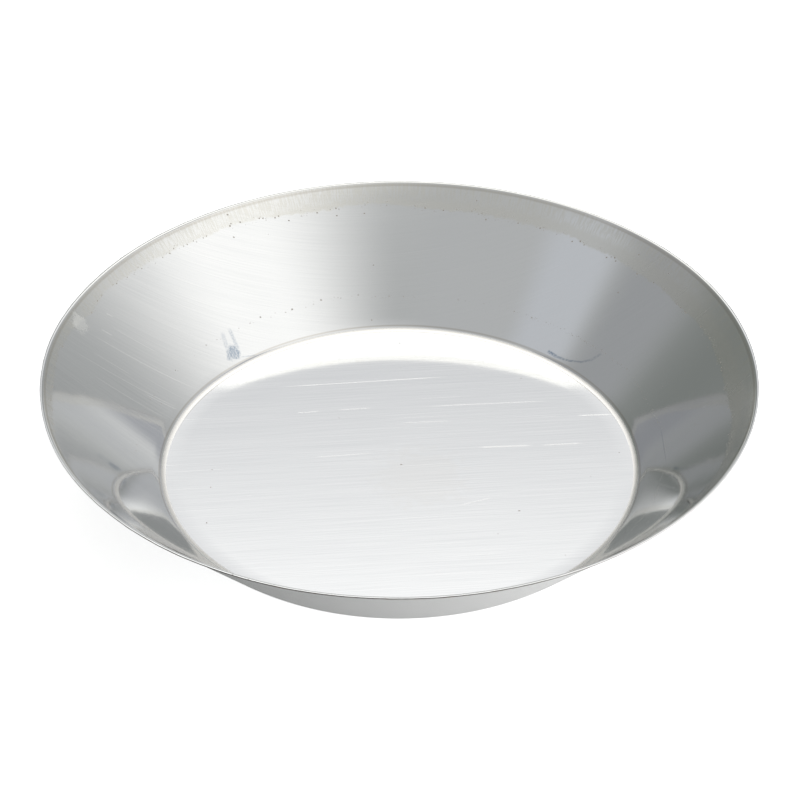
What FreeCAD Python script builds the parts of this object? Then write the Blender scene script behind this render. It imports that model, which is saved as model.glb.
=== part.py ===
"""Oil drain pan: one round, flat-bottomed pan pressed from a single disc of tinned steel sheet.

The floor turns up through a bend into a straight sloping wall, and the wall turns out at the
top into a narrow lip that ends in the trimmed edge of the sheet. Nothing is seamed, riveted
or wired on, so the pan is one body.

Frame: millimetres, +Z up out of the mouth, origin at the centre of the underside of the floor.
"""
import FreeCAD
import Part
import os
import Sketcher

PARTS_FOLDER = "parts"
DOCUMENT_NAME = "oil_drain_pan"

# alias, value in millimetres, what it measures
DRIVING_DIMENSIONS = [
    ("rim_diameter", 400.0, "across the trimmed edge of the lip"),
    ("base_diameter", 271.0, "inside, where the planes of the floor and the wall meet"),
    ("overall_height", 68.0, "from the underside of the floor to the top of the lip"),
    ("sheet_thickness", 0.7, "steel sheet with its tin coat, the same all over"),
    ("base_bend_radius", 5.0, "inside radius of the bend from the floor to the wall"),
    ("lip_bend_radius", 1.0, "underside radius of the bend from the wall to the lip"),
    ("lip_width", 1.5, "from the corner of the wall and the lip out to the trimmed edge"),
]

CIRCLE_TOLERANCE = 0.001  # how near an edge has to lie to the circle it is looked up by


def make_dimension_sheet(doc):
    """The spreadsheet whose aliases every sketch and feature reads."""
    sheet = doc.addObject("Spreadsheet::Sheet", "dims")
    for row, (alias, value, meaning) in enumerate(DRIVING_DIMENSIONS, start=1):
        sheet.set(f"A{row}", alias)
        sheet.set(f"B{row}", str(value))
        sheet.setAlias(f"B{row}", alias)
        sheet.set(f"C{row}", meaning)
    doc.recompute()
    return sheet


def origin_plane(body, role):
    """One of the body's own origin planes, such as XZ_Plane."""
    return next(f for f in body.Origin.OriginFeatures if f.Role == role)


def sharp_profile(dims):
    """Corners of the sheet's section before its bends, from the axis out along the underside and back."""
    rim_radius = dims.rim_diameter / 2
    base_radius = dims.base_diameter / 2
    mouth_radius = rim_radius - dims.lip_width
    top = dims.overall_height
    gauge = dims.sheet_thickness

    # The underside of the wall lies one sheet thickness out from the inside, square to the slope.
    run = mouth_radius - base_radius
    rise = top - gauge
    slope_length = (run**2 + rise**2) ** 0.5
    offset = gauge * (slope_length - run) / rise

    return [
        FreeCAD.Vector(0, 0, 0),
        FreeCAD.Vector(base_radius + offset, 0, 0),
        FreeCAD.Vector(mouth_radius + offset, top - gauge, 0),
        FreeCAD.Vector(rim_radius, top - gauge, 0),
        FreeCAD.Vector(rim_radius, top, 0),
        FreeCAD.Vector(mouth_radius, top, 0),
        FreeCAD.Vector(base_radius, gauge, 0),
        FreeCAD.Vector(0, gauge, 0),
    ]


def add_section_sketch(body, dims):
    """Half section of the pan with sharp corners, every size bound to the dimension sheet."""
    sketch = body.newObject("Sketcher::SketchObject", "section")
    sketch.AttachmentSupport = [(origin_plane(body, "XZ_Plane"), "")]
    sketch.MapMode = "FlatFace"

    corners = sharp_profile(dims)
    sides = list(zip(corners, corners[1:] + corners[:1]))
    for start, end in sides:
        sketch.addGeometry(Part.LineSegment(start, end), False)
    floor_under, wall_under, lip_under, trimmed_edge, lip_top, wall_inside, floor_top, axis = range(len(sides))

    root, start_point, end_point = -1, 1, 2
    for side in range(len(sides)):
        following = (side + 1) % len(sides)
        sketch.addConstraint(Sketcher.Constraint("Coincident", side, end_point, following, start_point))
    sketch.addConstraint(Sketcher.Constraint("Coincident", floor_under, start_point, root, start_point))
    for side in (floor_under, lip_under, lip_top, floor_top):
        sketch.addConstraint(Sketcher.Constraint("Horizontal", side))
    for side in (trimmed_edge, axis):
        sketch.addConstraint(Sketcher.Constraint("Vertical", side))
    sketch.addConstraint(Sketcher.Constraint("Parallel", wall_under, wall_inside))

    def dimension(name, expression, *constraint):
        """Adds a dimensional constraint and binds it to the sheet."""
        index = sketch.addConstraint(Sketcher.Constraint(*constraint))
        sketch.renameConstraint(index, name)
        sketch.setExpression(f"Constraints.{name}", expression)

    gauge = dims.sheet_thickness
    dimension("floor_gauge", "dims.sheet_thickness", "DistanceY", axis, end_point, axis, start_point, gauge)
    dimension("lip_gauge", "dims.sheet_thickness", "DistanceY", trimmed_edge, start_point, trimmed_edge,
              end_point, gauge)
    dimension("wall_gauge", "dims.sheet_thickness", "Distance", wall_inside, end_point, wall_under, gauge)
    dimension("rim_radius", "dims.rim_diameter / 2", "DistanceX", root, start_point, trimmed_edge,
              end_point, dims.rim_diameter / 2)
    dimension("height", "dims.overall_height", "DistanceY", root, start_point, trimmed_edge,
              end_point, dims.overall_height)
    dimension("lip_width", "dims.lip_width", "DistanceX", lip_top, end_point, lip_top, start_point,
              dims.lip_width)
    dimension("base_radius", "dims.base_diameter / 2", "DistanceX", root, start_point, wall_inside,
              end_point, dims.base_diameter / 2)
    return sketch


def circle_edge(shape, radius, height):
    """Name of the edge that is the level circle of this radius at this height."""
    for number, edge in enumerate(shape.Edges, start=1):
        curve = edge.Curve
        if not isinstance(curve, Part.Circle):
            continue
        if abs(curve.Radius - radius) < CIRCLE_TOLERANCE and abs(curve.Center.z - height) < CIRCLE_TOLERANCE:
            return f"Edge{number}"
    raise ValueError(f"no circle of radius {radius:.3f} at height {height:.3f}")


def add_bend(doc, body, name, corner, radius_expression):
    """Rounds one corner of the revolved section. The corner is given as radius and height."""
    before = body.Tip
    fillet = body.newObject("PartDesign::Fillet", name)
    fillet.Base = (before, [circle_edge(before.Shape, corner.x, corner.y)])
    fillet.setExpression("Radius", radius_expression)
    doc.recompute()
    return fillet


def build_pan(doc, dims):
    """The pressed sheet: the section turned about the axis, then the two bends, inside and outside."""
    pan = doc.addObject("PartDesign::Body", "drain_pan")
    pan.Label = "drain_pan"
    sketch = add_section_sketch(pan, dims)
    doc.recompute()

    turned = pan.newObject("PartDesign::Revolution", "turned_section")
    turned.Profile = sketch
    turned.ReferenceAxis = (sketch, ["V_Axis"])
    turned.Angle = 360.0
    doc.recompute()

    corners = sharp_profile(dims)
    base_under, lip_under, lip_top, base_inside = corners[1], corners[2], corners[5], corners[6]
    add_bend(doc, pan, "base_bend_inside", base_inside, "dims.base_bend_radius")
    add_bend(doc, pan, "base_bend_outside", base_under, "dims.base_bend_radius + dims.sheet_thickness")
    add_bend(doc, pan, "lip_bend_underside", lip_under, "dims.lip_bend_radius")
    add_bend(doc, pan, "lip_bend_top", lip_top, "dims.lip_bend_radius + dims.sheet_thickness")
    pan.Placement = FreeCAD.Placement()
    return pan


def check_document(doc, sub_parts):
    """Stops before anything is written if an object failed or a sub-part isn't one sound solid."""
    for item in doc.Objects:
        if "Invalid" in item.State or "Error" in item.State:
            raise RuntimeError(f"{item.Label} failed to recompute: {item.State}")
    for item in sub_parts:
        if item.Shape.isNull() or not item.Shape.isValid():
            raise RuntimeError(f"{item.Label} has no valid shape")
        if len(item.Shape.Solids) != 1:
            raise RuntimeError(f"{item.Label} holds {len(item.Shape.Solids)} solids")


def main():
    doc = FreeCAD.newDocument(DOCUMENT_NAME)
    dims = make_dimension_sheet(doc)
    sub_parts = [build_pan(doc, dims)]
    doc.recompute()
    check_document(doc, sub_parts)

    os.makedirs(PARTS_FOLDER, exist_ok=True)
    for item in sub_parts:
        item.Shape.exportStep(os.path.join(PARTS_FOLDER, f"{item.Label}.step"))
        box = item.Shape.optimalBoundingBox(False, False)
        print(f"{item.Label}: {box.XLength:.2f} x {box.YLength:.2f} x {box.ZLength:.2f} mm, "
              f"volume {item.Shape.Volume:.0f} mm3")


main()
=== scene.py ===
"""Looks of the oil drain pan: one pressed sheet of bright tinned steel, in its studio."""

from math import atan2, cos, pi, radians, sin, tan

import bmesh
import bpy
from mathutils import Matrix, Vector, noise


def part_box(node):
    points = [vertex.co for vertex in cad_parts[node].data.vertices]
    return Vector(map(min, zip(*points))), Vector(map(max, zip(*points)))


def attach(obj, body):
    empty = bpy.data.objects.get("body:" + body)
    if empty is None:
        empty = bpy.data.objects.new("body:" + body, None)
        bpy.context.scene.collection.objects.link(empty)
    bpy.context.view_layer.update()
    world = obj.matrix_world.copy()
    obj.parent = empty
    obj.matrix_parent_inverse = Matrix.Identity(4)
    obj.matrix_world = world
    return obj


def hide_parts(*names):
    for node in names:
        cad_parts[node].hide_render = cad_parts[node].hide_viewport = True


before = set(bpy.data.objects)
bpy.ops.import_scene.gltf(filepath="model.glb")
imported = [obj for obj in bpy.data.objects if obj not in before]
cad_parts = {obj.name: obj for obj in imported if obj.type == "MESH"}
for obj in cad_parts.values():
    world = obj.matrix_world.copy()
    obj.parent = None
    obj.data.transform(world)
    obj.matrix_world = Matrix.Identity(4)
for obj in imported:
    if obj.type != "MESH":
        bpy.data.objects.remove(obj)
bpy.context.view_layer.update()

MM = 0.001

# The pressing, to the same sizes as the solid it stands for.
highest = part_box("drain_pan")[1]
RIM_RADIUS = highest.x
HEIGHT = highest.z
SHEET = 0.7 * MM
BASE_RADIUS = 135.5 * MM
LIP_WIDTH = 1.5 * MM
BASE_BEND = 5.0 * MM
LIP_BEND = 1.0 * MM
MOUTH_RADIUS = RIM_RADIUS - LIP_WIDTH
WALL_SLOPE = atan2(HEIGHT - SHEET, MOUTH_RADIUS - BASE_RADIUS)

# How the wall eases out of the floor, and back again under the rim: share of the way up,
# distance off the straight line, and half the length of sheet that the easing takes.
FOOT_SHARE, FOOT_HOLLOW, FOOT_EASING = 0.055, 0.25 * MM, 2.6 * MM
BROW_SHARE, BROW_CROWN, BROW_EASING = 0.82, 0.15 * MM, 8 * MM

# Small waves of a real pressing, and the burr along its sheared edge: depth, then length.
WALL_WAVE, WALL_WAVE_LENGTH = 0.10 * MM, 90 * MM
RIM_WAVE, RIM_WAVE_LENGTH = 0.25 * MM, 60 * MM
BURR, BURR_LENGTH = 0.15 * MM, 6 * MM
EDGE_BREAK = 0.10 * MM

ROUND_STEPS = 480
BLANK_WIDTH = 500 * MM          # square of flat sheet that the pan's disc is cut from
INSIDE, OUTSIDE, CUT_EDGE = 0, 1, 2


# ---- the pressing ----

def wall_point(share, hollow):
    """A point of the section, some share of the way up the wall and set outwards by hollow."""
    return (BASE_RADIUS + share * (MOUTH_RADIUS - BASE_RADIUS) + hollow * sin(WALL_SLOPE),
            SHEET + share * (HEIGHT - SHEET) - hollow * cos(WALL_SLOPE))


def draw_section(bm, developed):
    """Half the inside line of the sheet, from its centre out to the cut edge."""
    corners = [(0, SHEET), (BASE_RADIUS, SHEET), wall_point(FOOT_SHARE, FOOT_HOLLOW),
               wall_point(BROW_SHARE, -BROW_CROWN), (MOUTH_RADIUS, HEIGHT), (RIM_RADIUS, HEIGHT)]
    points = [bm.verts.new((r, 0, z)) for r, z in corners]
    for a, b in zip(points, points[1:]):
        bm.edges.new((a, b))
    roundings = [(points[1], BASE_BEND * tan(WALL_SLOPE / 2), 9),
                 (points[2], FOOT_EASING, 6),
                 (points[3], BROW_EASING, 6),
                 (points[4], (LIP_BEND + SHEET) * tan(WALL_SLOPE / 2), 6)]
    for corner, offset, segments in roundings:
        bmesh.ops.bevel(bm, geom=[corner], affect="VERTICES", offset=offset,
                        offset_type="OFFSET", segments=segments, profile=0.5, material=-1)
    for shortest, cuts in ((120 * MM, 13), (25 * MM, 15)):
        long_edges = [e for e in bm.edges if e.calc_length() > shortest]
        bmesh.ops.subdivide_edges(bm, edges=long_edges, cuts=cuts)
    section = sorted(bm.verts, key=lambda v: v.co.x)
    travelled = 0
    for before, v in zip([section[0]] + section, section):
        travelled += (v.co - before.co).length
        v[developed] = travelled
    return travelled


def ease_the_sheet(bm, developed):
    """Slow waves that grow up the wall, none of them on the floor or past the rim's circle."""
    for v in bm.verts:
        if v[developed] > BASE_RADIUS:
            outward = Vector((v.co.x, v.co.y, 0)).normalized()
            climb = min(1, (v[developed] - BASE_RADIUS) / (40 * MM))
            near_rim = max(0, (v.co.z / HEIGHT - 0.7) / 0.3) ** 2
            v.co += outward * WALL_WAVE * climb * (noise.noise(v.co / WALL_WAVE_LENGTH) - 0.5)
            v.co += outward * RIM_WAVE * near_rim * (noise.noise(v.co / RIM_WAVE_LENGTH) - 0.5)


def dress_the_edge(bm, developed, blank_radius):
    """The sheared edge: its corners just broken, and a burr that wanders along it."""
    edge = {f for f in bm.faces if all(v[developed] > blank_radius - MM / 100 for v in f.verts)}
    for f in edge:
        f.material_index = CUT_EDGE
    corners = [e for e in bm.edges if sum(f in edge for f in e.link_faces) == 1]
    bmesh.ops.bevel(bm, geom=corners, affect="EDGES", offset=EDGE_BREAK,
                    offset_type="OFFSET", segments=2, profile=0.5, material=CUT_EDGE)
    for v in {v for f in bm.faces if f.material_index == CUT_EDGE for v in f.verts}:
        outward = Vector((v.co.x, v.co.y, 0)).normalized()
        v.co += outward * BURR * (noise.noise(v.co / BURR_LENGTH) - 0.8)


def lay_out_the_blank(bm, developed):
    """UV map of the sheet laid flat again, so rolling marks run as they did before pressing."""
    flat = bm.loops.layers.uv.new("blank")
    for f in bm.faces:
        for corner in f.loops:
            direction = Vector((corner.vert.co.x, corner.vert.co.y))
            if direction.length > 0:
                direction = direction.normalized() * corner.vert[developed]
            corner[flat].uv = direction / BLANK_WIDTH + Vector((0.5, 0.5))


def press_the_pan():
    """The section turned about the axis, and given its thickness downwards and outwards."""
    bm = bmesh.new()
    developed = bm.verts.layers.float.new("developed_radius")
    blank_radius = draw_section(bm, developed)
    bmesh.ops.spin(bm, geom=bm.verts[:] + bm.edges[:], cent=(0, 0, 0), axis=(0, 0, 1), dvec=(0, 0, 0),
                   angle=2 * pi, steps=ROUND_STEPS, use_merge=True, use_duplicate=False)
    bmesh.ops.remove_doubles(bm, verts=bm.verts, dist=MM / 1000)
    bmesh.ops.recalc_face_normals(bm, faces=bm.faces)
    if sum(f.normal.z for f in bm.faces) < 0:
        bmesh.ops.reverse_faces(bm, faces=bm.faces)
    ease_the_sheet(bm, developed)
    inside = set(bm.faces)
    bmesh.ops.solidify(bm, geom=bm.faces[:], thickness=SHEET)
    for f in bm.faces:
        f.material_index = INSIDE if f in inside else OUTSIDE
    dress_the_edge(bm, developed, blank_radius)
    lay_out_the_blank(bm, developed)
    mesh = bpy.data.meshes.new("drain_pan_sheet")
    bm.to_mesh(mesh)
    bm.free()
    for p in mesh.polygons:
        p.use_smooth = True
    mesh.set_sharp_from_angle(angle=radians(40))
    return mesh


# ---- node helpers ----

def add(tree, kind, sockets=None, **settings):
    """One shader node with its settings, and each named socket set to a value or linked."""
    node = tree.nodes.new("ShaderNode" + kind)
    for name, value in settings.items():
        setattr(node, name, value)
    for name, value in (sockets or {}).items():
        feed(tree, node.inputs[name], value)
    return node


def feed(tree, socket, value):
    """A socket linked from another, or set to a plain value."""
    if isinstance(value, bpy.types.NodeSocket):
        tree.links.new(value, socket)
    else:
        socket.default_value = value


def maths(tree, operation, *values):
    """One Math node: numbers go on its sockets, sockets are linked."""
    return add(tree, "Math", dict(enumerate(values)), operation=operation).outputs[0]


def vectors(tree, operation, *values):
    """One Vector Math node, all of whose values are vectors."""
    node = add(tree, "VectorMath", dict(enumerate(values)), operation=operation)
    return node.outputs["Value" if operation in ("LENGTH", "DOT_PRODUCT", "DISTANCE") else "Vector"]


def ramp(tree, value, start, end, low=0.0, high=1.0):
    """Smooth step of a value from low at start to high at end."""
    span = {"Value": value, "From Min": start, "From Max": end, "To Min": low, "To Max": high}
    return add(tree, "MapRange", span, interpolation_type="SMOOTHSTEP").outputs[0]


def tint(tree, amount, under, over, blend="MIX"):
    """Colour over another, by an amount."""
    mix = add(tree, "Mix", {"Factor": amount}, data_type="RGBA", blend_type=blend)
    for number, colour in ((6, under), (7, over)):
        feed(tree, mix.inputs[number], (*colour, 1) if isinstance(colour, tuple) else colour)
    return mix.outputs[2]


def cloudy(tree, place, scale, detail, roughness=0.5, dimensions="2D"):
    """Cloudy value from 0 to 1 over a place, about a half on average."""
    sockets = {"Vector": place, "Scale": scale, "Detail": detail, "Roughness": roughness}
    return add(tree, "TexNoise", sockets, noise_dimensions=dimensions).outputs[0]


def ring(tree, reach, middle, half_width, core):
    """A soft ring round the blank's centre, full within the core of its width."""
    return ramp(tree, maths(tree, "ABSOLUTE", maths(tree, "SUBTRACT", reach, middle)), half_width, core)


def strongest(tree, masks):
    """The largest of several masks at each point."""
    total = masks[0]
    for mask in masks[1:]:
        total = maths(tree, "MAXIMUM", total, mask)
    return total


def new_group(name, inputs, outputs):
    """An empty node group: inputs as name and kind, outputs all plain values."""
    group = bpy.data.node_groups.new(name, "ShaderNodeTree")
    for socket, kind in inputs.items():
        group.interface.new_socket(socket, in_out="INPUT", socket_type="NodeSocket" + kind)
    for socket in outputs:
        group.interface.new_socket(socket, in_out="OUTPUT", socket_type="NodeSocketFloat")
    return group, group.nodes.new("NodeGroupInput").outputs, group.nodes.new("NodeGroupOutput").inputs


def place_group(tree, group, **sockets):
    """A node group placed in a material, its socket names given with underscores."""
    named = {name.replace("_", " "): value for name, value in sockets.items()}
    return add(tree, "Group", named, node_tree=group)


# ---- finishes shared by the faces of the sheet ----

ROLLING_TILT = radians(5)       # the rolling marks run a little off the X axis


def rolled_grain_group():
    """Long fine lines left by the mill's rolls, and broader soft streaks between them."""
    group, come, go = new_group("rolled_grain", {"Place": "Vector"}, ["Fine", "Broad"])
    for output, lengthwise, across, detail in (("Fine", 16, 1300, 3), ("Broad", 5, 170, 2)):
        stretched = add(group, "Mapping", {"Vector": come["Place"], "Scale": (lengthwise, across, 1)})
        group.links.new(cloudy(group, stretched.outputs[0], 1, detail, 0.6), go[output])
    return group


def loose_cells(tree, place, length, width):
    """Cells scattered over the sheet: distance from the nearest one's middle, and its own chances."""
    split = add(tree, "SeparateXYZ", {"Vector": place}).outputs
    grid = add(tree, "CombineXYZ", {"X": maths(tree, "DIVIDE", split["X"], length),
                                    "Y": maths(tree, "DIVIDE", split["Y"], width)}).outputs[0]
    spread = add(tree, "TexVoronoi", {"Vector": grid, "Scale": 1}, voronoi_dimensions="2D").outputs
    return spread["Distance"], add(tree, "SeparateColor", {"Color": spread["Color"]}).outputs


def scratches_group():
    """Thin marks along the rolling lines: long cells, each with at most one scratch at its middle."""
    group, come, go = new_group("scratches", {"Place": "Vector", "Cell Length": "Float",
                                              "Cell Width": "Float", "Share": "Float"}, ["Mask"])
    away, chance = loose_cells(group, come["Place"], come["Cell Length"], come["Cell Width"])
    line = ramp(group, away, 0.16, 0.05)
    struck = maths(group, "LESS_THAN", chance[0], come["Share"])
    depth = maths(group, "MULTIPLY_ADD", chance[1], 0.75, 0.25)
    group.links.new(maths(group, "MULTIPLY", maths(group, "MULTIPLY", line, struck), depth), go["Mask"])
    return group


def struck_line_group():
    """One line mark from a place to another, tapering off at its ends: scratches, specks and painted dark
    reflections are drawn with it.
    """
    group, come, go = new_group("struck_line", {"Place": "Vector", "From": "Vector", "To": "Vector",
                                                "Width": "Float"}, ["Mask"])
    along = vectors(group, "SUBTRACT", come["To"], come["From"])
    off = vectors(group, "SUBTRACT", come["Place"], come["From"])
    share = maths(group, "DIVIDE", vectors(group, "DOT_PRODUCT", off, along),
                  vectors(group, "DOT_PRODUCT", along, along))
    held = maths(group, "MINIMUM", maths(group, "MAXIMUM", share, 0), 1)
    nearest = add(group, "VectorMath", {0: along, "Scale": held}, operation="SCALE").outputs["Vector"]
    gap = vectors(group, "DISTANCE", off, nearest)
    body = ramp(group, maths(group, "DIVIDE", gap, come["Width"]), 1.0, 0.3)
    ends = ramp(group, maths(group, "ABSOLUTE", maths(group, "SUBTRACT", held, 0.5)), 0.5, 0.3)
    group.links.new(maths(group, "MULTIPLY", body, ends), go["Mask"])
    return group


def specks_group():
    """Small dots, each of its own size, in a share of the cells of a loose grid."""
    group, come, go = new_group("specks", {"Place": "Vector", "Spacing": "Float", "Size": "Float",
                                           "Share": "Float"}, ["Mask"])
    away, chance = loose_cells(group, come["Place"], come["Spacing"], come["Spacing"])
    reach = maths(group, "DIVIDE", come["Size"], come["Spacing"])
    reach = maths(group, "MULTIPLY", reach, maths(group, "MULTIPLY_ADD", chance[1], 0.7, 0.3))
    dot = ramp(group, maths(group, "DIVIDE", away, reach), 1.0, 0.5)
    present = maths(group, "LESS_THAN", chance[0], come["Share"])
    group.links.new(maths(group, "MULTIPLY", dot, present), go["Mask"])
    return group


def blob_group():
    """A soft round patch with a broken outline."""
    group, come, go = new_group("blob", {"Place": "Vector", "Centre": "Vector", "Radius": "Float"},
                                ["Mask"])
    away = vectors(group, "DISTANCE", come["Place"], come["Centre"])
    away = maths(group, "SUBTRACT", maths(group, "DIVIDE", away, come["Radius"]), 0.8)
    ragged = maths(group, "MULTIPLY_ADD", cloudy(group, come["Place"], 160, 4, 0.6), 1.6, away)
    group.links.new(ramp(group, ragged, 1.1, 0.5), go["Mask"])
    return group


def level_mark_group():
    """Where old liquid stood: 1 above a wandering line round the bowl, and how near the line is."""
    group, come, go = new_group("level_mark", {
        "Place": "Vector", "Radius": "Float", "Lean": "Float", "Front Lean": "Float",
        "Wander": "Float", "Edge": "Float"}, ["Above", "Near"])
    slow = cloudy(group, come["Place"], 22, 2)
    quick = cloudy(group, come["Place"], 260, 3, 0.65)
    drift = maths(group, "MULTIPLY_ADD", quick, 0.45, maths(group, "SUBTRACT", slow, 0.72))
    reach = vectors(group, "LENGTH", come["Place"])
    split = add(group, "SeparateXYZ", {"Vector": come["Place"]}).outputs
    eastward = maths(group, "DIVIDE", split["X"], reach)
    frontward = maths(group, "DIVIDE", split["Y"], maths(group, "MULTIPLY", reach, -1))
    frontward = maths(group, "MAXIMUM", frontward, 0)
    line = maths(group, "MULTIPLY_ADD", drift, come["Wander"], come["Radius"])
    line = maths(group, "MULTIPLY_ADD", eastward, come["Lean"], line)
    line = maths(group, "MULTIPLY_ADD", frontward, come["Front Lean"], line)
    over = maths(group, "DIVIDE", maths(group, "SUBTRACT", reach, line), come["Edge"])
    group.links.new(ramp(group, over, -1, 1), go["Above"])
    group.links.new(ramp(group, maths(group, "ABSOLUTE", over), 2.5, 0), go["Near"])
    return group


grain_group, scratch_group, line_group = rolled_grain_group(), scratches_group(), struck_line_group()
speck_group, soft_patch_group, level_group = specks_group(), blob_group(), level_mark_group()


def sheet_place(tree, tilt=0.0):
    """Place on the flat blank, in metres from its centre, in line with the rolling if tilted."""
    flat = add(tree, "UVMap", uv_map="blank").outputs[0]
    centred = vectors(tree, "SUBTRACT", flat, (0.5, 0.5, 0))
    return add(tree, "Mapping", {"Vector": centred, "Scale": (BLANK_WIDTH, BLANK_WIDTH, 1),
                                 "Rotation": (0, 0, -tilt)}).outputs[0]


def start_metal(name, roughness, colour):
    """A new metal, with its tree and the sockets of its shader."""
    material = bpy.data.materials.new(name)
    material.use_nodes = True
    shader = material.node_tree.nodes["Principled BSDF"]
    shader.inputs["Metallic"].default_value = 1.0
    shader.inputs["Roughness"].default_value = roughness
    shader.inputs["Base Color"].default_value = (*colour, 1)
    return material, material.node_tree, shader.inputs


def raise_the_surface(tree, inputs, height, depth):
    """Bump of a given depth, so that the marks catch the light."""
    bump = add(tree, "Bump", {"Strength": 1.0, "Distance": depth, "Height": height})
    tree.links.new(bump.outputs[0], inputs["Normal"])


TIN = (0.80, 0.805, 0.805)
RAW_STEEL = (0.4, 0.39, 0.38)
WARM_FILM = (0.955, 0.935, 0.88)
# Bluish dark colour of painted reflections at the foot of the wall.
PAINTED_DARK_REFLECTION = (0.22, 0.29, 0.38)
OLD_RUST = (0.36, 0.30, 0.24)

# Rings on the blank, as distances from its centre.
FLOOR_END = 133.2 * MM          # a thin line where the flat floor stops
# The next ring, and the floor's end at the back, carry painted shade: thin dark lines along both sides of the
# base bend.
BEND_SHADE_LINE = 137.8 * MM
OLD_LEVEL = 156.5 * MM          # where a little oil was once left to dry
OIL_LINE = 212.5 * MM           # where the pan was filled to, below the film
# Painted shade: a darker ring where the sheet turns into the lip.
LIP_CREASE_SHADE = 225.6 * MM

# Scratches that were struck by hand tools, as places on the blank in millimetres, and their width.
STRUCK_LINES = [
    (-203, 60, -119, 70, 0.47), (-214, 36, -126, 51, 0.40), (-194, 69, -185, 70, 0.75),
    (-193, 83, -187, 84, 0.62), (-157, 44, -129, 49, 0.45), (-199, 47, -166, 51, 0.35),
    (-188, 76, -150, 79, 0.35), (-198, 28, -133, 38, 0.35),
    (-74, 75, 33, 86, 0.50), (12, 55, 92, 61, 0.45), (0, 39, 31, 41, 0.45),
    (44, 15, 78, 17, 1.1), (81, 17, 107, 19, 0.8), (103, 46, 126, 47, 0.62),
    (-50, 6, -14, 10, 0.50), (33, -39, 52, -32, 0.45), (-37, 52, -16, 54, 0.62),
    (-61, 49, -46, 51, 0.56),
]

# Painted dark reflections at the foot of the wall, and one more dark line of the same colour: width, then
# depth.
DARK_REFLECTION_STREAKS = [
    (-98, 105, -108, 118, 1.8, 0.40), (-105, 102, -112, 114, 2.2, 0.28),
    (-97, 102, -86, 107, 0.6, 0.35), (90, 108, 96, 102, 1.4, 0.80), (93, 104, 100, 99, 1.1, 0.65),
    (98, 100, 106, 95, 0.9, 0.60), (103, 97, 112, 92, 0.9, 0.50), (109, 93, 119, 91, 1.0, 0.40),
    (116, 91, 126, 92, 1.4, 0.25), (156, 14, 157, -24, 0.5, 0.30),
]

# Larger dark specks of dried oil, as places on the blank in millimetres, and their size.
DARK_SPECKS = [(1, -1), (67, -44), (-88, 131), (-76, 196), (-43, 204), (-24, 207), (-68, 141), (-50, 150),
               (-113, 176), (-119, 189), (60, 199), (97, 186), (118, 171), (140, 152), (146, 147)]
DARK_SPECK_HALF_LENGTH, DARK_SPECK_WIDTH = 0.7, 0.55


def line_on_blank(tree, place, x0, y0, x1, y1, width):
    """A line mark between two places on the blank, everything in millimetres."""
    return place_group(tree, line_group, Place=place, From=(x0 * MM, y0 * MM, 0), To=(x1 * MM, y1 * MM, 0),
                       Width=width * MM).outputs[0]


def specks_on_blank(tree, place, spacing, size, share):
    """Scattered dots, their spacing and size in millimetres."""
    return place_group(tree, speck_group, Place=place, Spacing=spacing * MM, Size=size * MM,
                       Share=share).outputs[0]


def blob_on_blank(tree, place, x, y, radius):
    """A soft patch about a place on the blank, everything in millimetres."""
    return place_group(tree, soft_patch_group, Place=place, Centre=(x * MM, y * MM, 0),
                       Radius=radius * MM).outputs[0]


def inside_scratches(tree, place, rolled, reach, rubbed):
    """Faint marks along the rolling, and the deeper ones that tools struck."""
    long_marks = place_group(tree, scratch_group, Place=rolled, Cell_Length=160 * MM, Cell_Width=2.0 * MM,
                             Share=0.30).outputs[0]
    short_marks = place_group(tree, scratch_group, Place=rolled, Cell_Length=45 * MM, Cell_Width=1.1 * MM,
                              Share=0.10).outputs[0]
    short_marks = maths(tree, "MULTIPLY", short_marks, ramp(tree, cloudy(tree, place, 14, 2), 0.45, 0.65))
    struck = strongest(tree, [line_on_blank(tree, place, *line) for line in STRUCK_LINES])
    struck = maths(tree, "MULTIPLY", struck, ramp(tree, reach, 0.132, 0.14, 0.85, 0.6))
    faint = maths(tree, "MULTIPLY", strongest(tree, [long_marks, short_marks]), rubbed)
    return maths(tree, "MAXIMUM", struck, maths(tree, "MULTIPLY", faint, 0.5))


def dull_film(tree, reach, split, above, mottle):
    """The film above the oil line: strokes run up through it, and it is wiped off the front lip."""
    round_the_wall = maths(tree, "MULTIPLY", maths(tree, "ARCTAN2", split["Y"], split["X"]), 230)
    up_the_wall = maths(tree, "MULTIPLY", reach, 110)
    radial = add(tree, "CombineXYZ", {"X": round_the_wall, "Y": up_the_wall}).outputs[0]
    strokes = ramp(tree, cloudy(tree, radial, 1, 2, 0.6), 0.42, 0.60)
    strokes = maths(tree, "MULTIPLY", strokes, ramp(tree, reach, 0.2140, 0.2185))
    film = maths(tree, "MULTIPLY_ADD", strokes, -0.60, maths(tree, "MULTIPLY_ADD", mottle, 0.30, 0.78))
    film = maths(tree, "MULTIPLY", above, film)
    wiped_lip = maths(tree, "MULTIPLY", ramp(tree, reach, 0.2262, 0.2276),
                      ramp(tree, split["Y"], 0.12, 0.02, 0.3, 1))
    return maths(tree, "MULTIPLY", film, maths(tree, "MULTIPLY_ADD", wiped_lip, -0.85, 1))


def base_bend_marks(tree, reach, split):
    """A painted highlight along the bend, also roughened as rubbed wear, and painted shade lines along both
    its sides.
    """
    # Painted highlight: a bright cream band along the bend; its extra roughness is rubbed wear.
    bend_highlight_and_wear = maths(tree, "MULTIPLY", ramp(tree, reach, FLOOR_END, 0.1340),
                      ramp(tree, reach, 0.1370, 0.1360))
    # Painted shade: a thin dark line where the floor meets the bend, at the back only.
    inner_line = maths(tree, "MULTIPLY", ring(tree, reach, FLOOR_END, 0.5 * MM, 0.1 * MM),
                       ramp(tree, split["Y"], 0.02, 0.07))
    # Painted shade: a thin dark line just outside the bend.
    outer_shade_line = ring(tree, reach, BEND_SHADE_LINE, 0.9 * MM, 0.1 * MM)
    return bend_highlight_and_wear, maths(tree, "MAXIMUM", outer_shade_line, inner_line)


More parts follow.
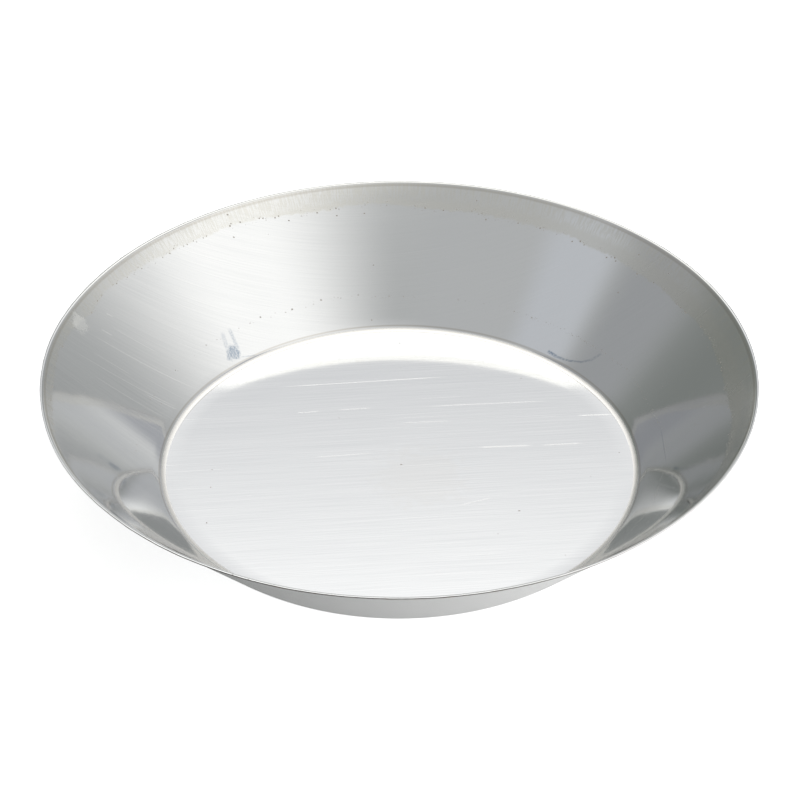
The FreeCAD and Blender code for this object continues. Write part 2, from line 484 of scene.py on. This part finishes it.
def painted_dark_reflections(tree, place, mottle):
    """Painted dark reflections across the foot of the wall, and one soft smudge of them."""
    dark_reflections = [maths(tree, "MULTIPLY", depth, line_on_blank(tree, place, *line)) for *line, depth in DARK_REFLECTION_STREAKS]
    reflection_smudge = maths(tree, "MULTIPLY", blob_on_blank(tree, place, -101.5, 103.5, 5.5), 0.8)
    dark_reflections = maths(tree, "MAXIMUM", strongest(tree, dark_reflections), reflection_smudge)
    return maths(tree, "MULTIPLY", dark_reflections, ramp(tree, mottle, 0.35, 0.62, 0.35, 1))


def dried_specks(tree, place, split, near_oil_line):
    """Beads of dried oil along both old levels, a few loose ones, and the larger dark ones."""
    old_level = place_group(tree, level_group, Place=place, Radius=OLD_LEVEL, Lean=0.0, Front_Lean=0.0,
                            Wander=6 * MM, Edge=0.5 * MM).outputs["Near"]
    near_lines = maths(tree, "MAXIMUM", near_oil_line, maths(tree, "MULTIPLY", old_level, 0.6))
    beads = maths(tree, "MULTIPLY", specks_on_blank(tree, place, 2.2, 0.8, 0.30), near_lines)
    loose = specks_on_blank(tree, place, 18, 0.6, 0.07)
    dotted_level = maths(tree, "MULTIPLY", old_level, ramp(tree, split["X"], 0.06, 0.10))
    dots = maths(tree, "MULTIPLY", specks_on_blank(tree, place, 1.4, 0.5, 0.55), dotted_level)
    large = [line_on_blank(tree, place, x - DARK_SPECK_HALF_LENGTH, y, x + DARK_SPECK_HALF_LENGTH, y,
                           DARK_SPECK_WIDTH) for x, y in DARK_SPECKS]
    return strongest(tree, [beads, loose, *large, maths(tree, "MULTIPLY", dots, 0.8)])


def inside_metal():
    """Bright inside: rolled grain, scratches, a warm film above the old oil line and small stains; also a
    painted highlight on the base bend with painted shade lines beside it, painted shade in the lip crease,
    and painted dark reflections at the foot of the wall.
    """
    material, tree, inputs = start_metal("bright_tin_inside", 0.07, TIN)
    place, rolled = sheet_place(tree), sheet_place(tree, ROLLING_TILT)
    reach = vectors(tree, "LENGTH", place)
    split = add(tree, "SeparateXYZ", {"Vector": place}).outputs
    grain = place_group(tree, grain_group, Place=rolled).outputs
    mottle = cloudy(tree, place, 900, 3, 0.6)

    leftward = ramp(tree, split["X"], 0.02, -0.13)
    rubbed = maths(tree, "MAXIMUM", ramp(tree, reach, 0.139, 0.134),
                   maths(tree, "MULTIPLY_ADD", leftward, 0.6, 0.25))
    scratched = inside_scratches(tree, place, rolled, reach, rubbed)
    oil_line = place_group(tree, level_group, Place=place, Radius=OIL_LINE, Lean=-6.5 * MM,
                           Front_Lean=17 * MM, Wander=8 * MM, Edge=1.0 * MM).outputs
    film = dull_film(tree, reach, split, oil_line["Above"], mottle)
    # A painted highlight on the bend, and painted shade lines beside it.
    bend_highlight_and_wear, bend_shade_lines = base_bend_marks(tree, reach, split)
    # Painted shade in the lip crease.
    lip_crease_shade = ring(tree, reach, LIP_CREASE_SHADE, 1.3 * MM, 0.2 * MM)
    # Painted dark reflections at the foot of the wall.
    dark_reflections = painted_dark_reflections(tree, place, mottle)
    specks = dried_specks(tree, place, split, oil_line["Near"])
    brown = blob_on_blank(tree, place, 12, -14, 30)
    chalky = blob_on_blank(tree, place, -209, 62, 8)

    streaky = maths(tree, "MULTIPLY_ADD", grain["Fine"], 0.8, maths(tree, "MULTIPLY", grain["Broad"], 0.2))
    streak_depth = maths(tree, "MULTIPLY", maths(tree, "SUBTRACT", streaky, 0.5), rubbed)
    colour = tint(tree, maths(tree, "ADD", streak_depth, 0.5), (0.72, 0.73, 0.735), (0.895, 0.895, 0.89))
    colour = tint(tree, maths(tree, "MULTIPLY", brown, 0.09), colour, (0.72, 0.66, 0.58))
    colour = tint(tree, film, colour, WARM_FILM, blend="MULTIPLY")
    # Painted shade in the lip crease, then a painted highlight on the bend and painted shade lines beside it.
    colour = tint(tree, maths(tree, "MULTIPLY", lip_crease_shade, 0.4), colour, (0.50, 0.46, 0.40))
    colour = tint(tree, maths(tree, "MULTIPLY", bend_highlight_and_wear, 0.8), colour, (0.99, 0.96, 0.91))
    colour = tint(tree, maths(tree, "MULTIPLY", bend_shade_lines, 0.45), colour, (0.48, 0.43, 0.36))
    colour = tint(tree, maths(tree, "MULTIPLY", scratched, 0.9), colour, (0.97, 0.965, 0.95))
    colour = tint(tree, maths(tree, "MULTIPLY", chalky, 0.6), colour, (0.88, 0.88, 0.85))
    # Painted dark reflections.
    colour = tint(tree, dark_reflections, colour, PAINTED_DARK_REFLECTION)
    colour = tint(tree, maths(tree, "MULTIPLY", specks, 0.75), colour, OLD_RUST)
    tree.links.new(colour, inputs["Base Color"])

    rough = maths(tree, "MULTIPLY_ADD", grain["Broad"], 0.05, 0.04)
    for mark, roughens in ((film, 0.20), (scratched, 0.25), (bend_highlight_and_wear, 0.30), (chalky, 0.25), (specks, 0.5)):
        rough = maths(tree, "MULTIPLY_ADD", mark, roughens, rough)
    tree.links.new(rough, inputs["Roughness"])
    tree.links.new(maths(tree, "MULTIPLY_ADD", specks, -0.6, 1), inputs["Metallic"])

    height = maths(tree, "MULTIPLY_ADD", grain["Fine"], rubbed, maths(tree, "MULTIPLY", scratched, -2.0))
    height = maths(tree, "MULTIPLY_ADD", mottle, maths(tree, "MULTIPLY", oil_line["Above"], 0.55), height)
    raise_the_surface(tree, inputs, height, 0.0012 * MM)
    return material


def outside_metal():
    """The same sheet from outside: rolled grain, more rubbed, and scuffed where it stands."""
    material, tree, inputs = start_metal("bright_tin_outside", 0.12, TIN)
    place, rolled = sheet_place(tree), sheet_place(tree, ROLLING_TILT)
    reach = vectors(tree, "LENGTH", place)
    grain = place_group(tree, grain_group, Place=rolled).outputs
    marks = place_group(tree, scratch_group, Place=rolled, Cell_Length=100 * MM, Cell_Width=1.4 * MM,
                        Share=0.22).outputs[0]
    cross = add(tree, "Mapping", {"Vector": place, "Rotation": (0, 0, radians(63))}).outputs[0]
    rubs = place_group(tree, scratch_group, Place=cross, Cell_Length=60 * MM, Cell_Width=1.3 * MM,
                       Share=0.30).outputs[0]
    rubs = maths(tree, "MULTIPLY", rubs, ramp(tree, reach, 0.142, 0.134))
    patchy = cloudy(tree, place, 70, 4, 0.65)
    standing = ring(tree, reach, 131 * MM, 12 * MM, 2 * MM)
    worn = maths(tree, "MULTIPLY", standing, ramp(tree, patchy, 0.35, 0.6))
    scratched = strongest(tree, [maths(tree, "MULTIPLY", marks, 0.5), rubs,
                                 maths(tree, "MULTIPLY", worn, 0.6)])
    film = maths(tree, "MULTIPLY", ramp(tree, reach, 0.214, 0.222), ramp(tree, patchy, 0.35, 0.65))

    streaky = maths(tree, "MULTIPLY_ADD", grain["Fine"], 0.7, maths(tree, "MULTIPLY", grain["Broad"], 0.3))
    colour = tint(tree, ramp(tree, streaky, 0.3, 0.7), (0.76, 0.77, 0.775), (0.82, 0.82, 0.815))
    colour = tint(tree, maths(tree, "MULTIPLY", film, 0.5), colour, (0.66, 0.62, 0.55))
    colour = tint(tree, maths(tree, "MULTIPLY", scratched, 0.6), colour, (0.92, 0.92, 0.91))
    tree.links.new(colour, inputs["Base Color"])
    rough = maths(tree, "MULTIPLY_ADD", patchy, 0.12, 0.06)
    rough = maths(tree, "MULTIPLY_ADD", film, 0.15, rough)
    tree.links.new(maths(tree, "MULTIPLY_ADD", scratched, 0.3, rough), inputs["Roughness"])
    height = maths(tree, "MULTIPLY_ADD", grain["Fine"], 1.0, maths(tree, "MULTIPLY", scratched, -2.0))
    raise_the_surface(tree, inputs, height, 0.0015 * MM)
    return material


def cut_edge_metal():
    """Raw steel of the sheared edge: dull, torn and beaded with rust, and painted lighter towards the right
    as a highlight.
    """
    material, tree, inputs = start_metal("sheared_edge", 0.45, RAW_STEEL)
    place = add(tree, "TexCoord").outputs["Object"]
    tear = cloudy(tree, place, 900, 3, 0.7, "3D")
    rusty = ramp(tree, cloudy(tree, place, 90, 4, 0.7, "3D"), 0.50, 0.66)
    # Painted highlight: the edge is made lighter towards the right.
    right_side_highlight = ramp(tree, add(tree, "SeparateXYZ", {"Vector": place}).outputs["X"], 0.05, 0.13)
    colour = tint(tree, ramp(tree, tear, 0.3, 0.7), (0.11, 0.108, 0.105), (0.30, 0.29, 0.28))
    colour = tint(tree, maths(tree, "MULTIPLY", rusty, 0.7), colour, (0.14, 0.10, 0.07))
    colour = tint(tree, maths(tree, "MULTIPLY", right_side_highlight, 0.8), colour, (0.72, 0.71, 0.70))
    tree.links.new(colour, inputs["Base Color"])
    tree.links.new(maths(tree, "MULTIPLY_ADD", rusty, 0.3, maths(tree, "MULTIPLY_ADD", tear, 0.3, 0.2)),
                   inputs["Roughness"])
    tree.links.new(maths(tree, "MULTIPLY_ADD", rusty, -0.6, 1), inputs["Metallic"])
    raise_the_surface(tree, inputs, tear, 0.04 * MM)
    return material


pan = bpy.data.objects.new("pan_sheet", press_the_pan())
bpy.context.scene.collection.objects.link(pan)
for finish in (inside_metal(), outside_metal(), cut_edge_metal()):
    pan.data.materials.append(finish)
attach(pan, "root")
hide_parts("drain_pan")


# ---- studio ----

def studio_table_material():
    """Pale matt table: glows a little at the right, washed out to the camera, clear from below."""
    material = bpy.data.materials.new("pale_table")
    material.use_nodes = True
    tree = material.node_tree
    inputs = tree.nodes["Principled BSDF"].inputs
    inputs["Base Color"].default_value = (0.74, 0.74, 0.73, 1)
    inputs["Roughness"].default_value = 0.9
    inputs["Specular IOR Level"].default_value = 0.2
    inputs["Emission Color"].default_value = (1, 1, 1, 1)
    place = add(tree, "SeparateXYZ", {"Vector": add(tree, "TexCoord").outputs["Object"]}).outputs
    glow = ramp(tree, place["X"], -0.22, 0.22, 0.0, 0.42)
    camera_ray = add(tree, "LightPath").outputs["Is Camera Ray"]
    tree.links.new(maths(tree, "MULTIPLY_ADD", camera_ray, 0.7, glow), inputs["Emission Strength"])
    from_below = add(tree, "NewGeometry").outputs["Backfacing"]
    tree.links.new(maths(tree, "SUBTRACT", 1, from_below), inputs["Alpha"])
    return material


TABLE_RADIUS, TABLE_DROP, TABLE_SEGMENTS = 6.0, 0.3 * MM, 96


def lay_the_table():
    """A ring a hair under the pan, open where the base stands, so that the underside can be seen."""
    bm = bmesh.new()
    for radius in (TABLE_RADIUS, BASE_RADIUS - BASE_BEND):
        bmesh.ops.create_circle(bm, segments=TABLE_SEGMENTS, radius=radius,
                                matrix=Matrix.Translation((0, 0, -TABLE_DROP)))
    bmesh.ops.bridge_loops(bm, edges=bm.edges[:])
    bmesh.ops.recalc_face_normals(bm, faces=bm.faces[:])
    if sum(f.normal.z for f in bm.faces) < 0:
        bmesh.ops.reverse_faces(bm, faces=bm.faces[:])
    mesh = bpy.data.meshes.new("studio_table")
    bm.to_mesh(mesh)
    bm.free()
    return mesh


studio_table = bpy.data.objects.new("studio_table", lay_the_table())
studio_table.data.materials.append(studio_table_material())
bpy.context.scene.collection.objects.link(studio_table)

camera = bpy.data.objects.new("camera", bpy.data.cameras.new("camera"))
bpy.context.scene.collection.objects.link(camera)
camera.data.lens = 122.5
ELEVATION = radians(35.94)
DISTANCE = 1.5328
ROLL = radians(-0.146)
target = Vector((0.00033, 0, 0.04557))
camera.location = target + DISTANCE * Vector((0, -cos(ELEVATION), sin(ELEVATION)))
tilt_down, turn = Matrix.Rotation(pi / 2 - ELEVATION, 3, "X"), Matrix.Rotation(ROLL, 3, "Z")
camera.rotation_euler = (tilt_down @ turn).to_euler()
bpy.context.scene.camera = camera

# Soft patches of the studio, as seen from the pan: compass angle from the camera's side (right
# positive), height above the horizon, half width, half height (degrees), softness, colour.
STUDIO = [
    ("overhead", 0, 75, 180, 20, 0.5, (0.66, 0.67, 0.67)),
    ("right_softbox", 68, 44, 39, 26, 0.8, (1.17, 1.17, 1.155)),
    ("left_front", -45, 45, 36, 25, 0.4, (0.51, 0.52, 0.525)),
    ("left_card", -74, 38, 13, 11, 0.5, (0.57, 0.59, 0.62)),
    ("right_side", 135, 44, 30, 12, 0.5, (0.61, 0.62, 0.64)),
    ("back_wall", 180, 14, 36, 24, 0.4, (0.35, 0.36, 0.36)),
    ("left_flag", -142, 16, 32, 26, 0.75, (0.22, 0.235, 0.225)),
    ("left_flag_end", -102, 28, 12, 12, 0.6, (0.36, 0.37, 0.38)),
    ("right_gap", 98, 52, 13, 7, 0.5, (0.52, 0.53, 0.56)),
    ("left_gap", -100, 50, 13, 8, 0.5, (0.34, 0.35, 0.37)),
    ("back_low_band", 180, 3, 24, 11, 0.3, (1.00, 1.00, 0.98)),
    ("back_spill", 180, 62, 46, 18, 0.55, (1.05, 1.05, 1.05)),
    ("back_glow_low", 180, 54.5, 32, 23.5, 0.106, (0.66, 0.67, 0.69)),
    ("back_glow", 180, 58.5, 32, 19.5, 0.385, (1.45, 1.45, 1.44)),
    ("back_bank", 174, 61.5, 36, 16.5, 0.364, (1.50, 1.50, 1.48)),
    ("front_right_low", 60, 6, 50, 12, 0.4, (1.3, 1.3, 1.33)),
]
AMBIENT = (0.45, 0.46, 0.46)


def studio_patch_group():
    """Mask of one soft-edged box of light, from compass angle and height in degrees."""
    group, come, go = new_group("studio_patch", {
        "Compass": "Float", "Height": "Float", "At Compass": "Float", "At Height": "Float",
        "Half Width": "Float", "Half Height": "Float", "Softness": "Float"}, ["Mask"])
    off_compass = maths(group, "SUBTRACT", come["Compass"], come["At Compass"])
    off_compass = maths(group, "WRAP", off_compass, 180, -180)
    off_height = maths(group, "SUBTRACT", come["Height"], come["At Height"])
    squared_off = []
    for offset, half in ((off_compass, come["Half Width"]), (off_height, come["Half Height"])):
        share = maths(group, "ABSOLUTE", maths(group, "DIVIDE", offset, half))
        squared_off.append(maths(group, "POWER", share, 4))
    reach = maths(group, "POWER", maths(group, "ADD", *squared_off), 0.25)
    outer, inner = maths(group, "ADD", 1, come["Softness"]), maths(group, "SUBTRACT", 1, come["Softness"])
    group.links.new(ramp(group, reach, outer, inner), go["Mask"])
    return group


def light_the_studio():
    """The soft patches laid one over another round the pan, on plain white for the camera."""
    world = bpy.data.worlds.new("studio")
    bpy.context.scene.world = world
    world.use_nodes = True
    tree = world.node_tree
    toward = add(tree, "SeparateXYZ", {"Vector": add(tree, "TexCoord").outputs["Generated"]})
    x, y, z = toward.outputs
    compass = maths(tree, "DEGREES", maths(tree, "ARCTAN2", x, maths(tree, "MULTIPLY", y, -1)))
    height = maths(tree, "DEGREES", maths(tree, "ARCSINE", z))
    patch_group = studio_patch_group()
    colour = AMBIENT
    for name, at_compass, at_height, half_width, half_height, softness, shade in STUDIO:
        patch = place_group(tree, patch_group, Compass=compass, Height=height, At_Compass=at_compass,
                            At_Height=at_height, Half_Width=half_width, Half_Height=half_height,
                            Softness=softness)
        patch.label = name
        colour = tint(tree, patch.outputs["Mask"], colour, shade)
    camera_ray = add(tree, "LightPath").outputs["Is Camera Ray"]
    tree.links.new(tint(tree, camera_ray, colour, (1, 1, 1)), tree.nodes["Background"].inputs["Color"])


light_the_studio()
bpy.context.scene.view_settings.view_transform = "Standard"

bpy.context.view_layer.update()
